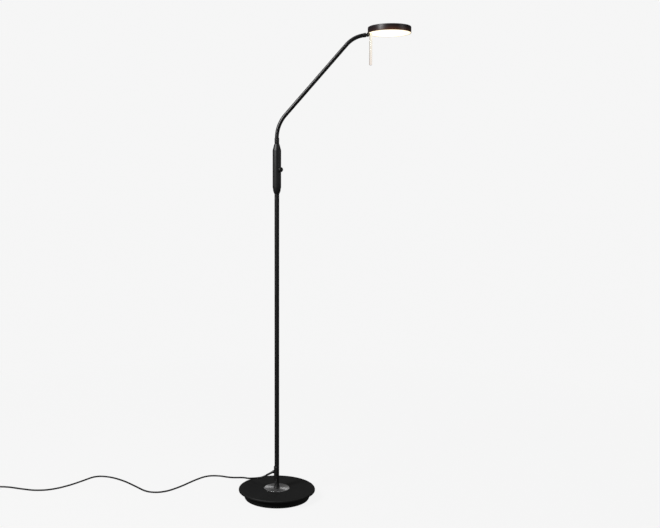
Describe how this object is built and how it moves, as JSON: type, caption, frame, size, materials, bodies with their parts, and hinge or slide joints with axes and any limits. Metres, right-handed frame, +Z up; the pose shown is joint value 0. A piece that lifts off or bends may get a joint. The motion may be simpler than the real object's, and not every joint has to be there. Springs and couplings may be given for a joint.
{
  "type": "pharmacy floor lamp",
  "caption": "Black floor lamp with a round weighted base, slim pole, grip with a dimmer, bent swivelling arm and a flat round lit head with a clear rod handle.",
  "frame": {"origin": "middle of the base's underside, on the floor and on the pole's axis", "axes": "+Z up along the pole, +X the way the arm leans, -X the way the mains cord leaves"},
  "size_m": [1.4293, 0.3037, 1.3928],
  "materials": {
    "black_foam": "matte",
    "black_paint": "matte black powder coat",
    "black_satin": "satin",
    "black_plastic": "fine grain",
    "black_rubber": "matte",
    "black_screw": "blackened steel",
    "cast_iron": "rough",
    "brushed_steel": "circular brushing",
    "zinc_steel": "zinc plated",
    "brass": "turned",
    "aluminium": "mill finish",
    "circuit_board": "solder mask",
    "grey_parts": "moulded",
    "white_board": "white solder mask",
    "led": "phosphor",
    "white_plastic": "matte",
    "opal": "opal, lit warm white",
    "clear_acrylic": "clear",
    "cord_sheath": "PVC sheath",
    "plug_metal": "nickel plated"
  },
  "bodies": {
    "stand": {"base_cover": "black_paint", "base_nut": "zinc_steel", "base_pad": "black_foam", "base_stud": "zinc_steel", "base_tub": "black_paint", "base_washer": "zinc_steel", "base_weight": "cast_iron", "cable_outlet": "black_plastic", "cord_coil": "cord_sheath", "dimmer_pot": "brass", "driver_board": "circuit_board", "driver_parts": "grey_parts", "foot_collar": "black_paint", "grip_nose": "black_paint", "grip_sleeve": "black_paint", "grip_tail": "black_plastic", "knob_seat": "black_plastic", "mains_cord": "cord_sheath", "outlet_screws": "black_screw", "plug_body": "cord_sheath", "plug_pins": "plug_metal", "pole_cable": "black_rubber", "pole_insert": "zinc_steel", "pole_tube": "black_paint", "stop_screw": "zinc_steel", "strain_relief": "black_rubber", "swivel_bush": "brass", "trim_disc": "brushed_steel"},
    "arm": {"arm_tube": "black_paint", "arm_wire": "black_rubber", "arm_collar": "black_satin", "arm_keeper": "zinc_steel", "arm_ferrule": "black_satin", "arm_end_bush": "brass"},
    "knuckle": {"head_knuckle": "black_satin", "spigot_clip": "zinc_steel"},
    "knob": {"dimmer_knob": "black_plastic", "knob_shaft": "brass"},
    "head": {"head_bracket": "black_satin", "tilt_pin": "zinc_steel", "head_housing": "black_paint", "heat_spreader": "aluminium", "led_board": "white_board", "led_chips": "led", "mirror_ring": "white_plastic", "opal_face": "opal", "handle_plate": "white_plastic", "handle_rod": "clear_acrylic", "handle_socket": "zinc_steel", "bracket_bolt": "zinc_steel"}
  },
  "joints": [
    {"name": "arm_swivel", "type": "hinge", "parent": "stand", "child": "arm", "pos_m": [0, 0, 1.0583], "axis": [0, 0, 1], "range_deg": [-160, 160]},
    {"name": "head_roll", "type": "hinge", "parent": "arm", "child": "knuckle", "pos_m": [0.25638, 0, 1.37035], "axis": [0.9877, 0, 0.1564], "range_deg": [-120, 120]},
    {"name": "head_tilt", "type": "hinge", "parent": "knuckle", "child": "head", "pos_m": [0.263, 0, 1.3714], "axis": [0, 1, 0], "range_deg": [-30, 30]},
    {"name": "dimmer_turn", "type": "hinge", "parent": "stand", "child": "knob", "pos_m": [0.0095, -0.0095, 0.9837], "axis": [0.7071, -0.7071, 0], "range_deg": [-270, 0]}
  ]
}
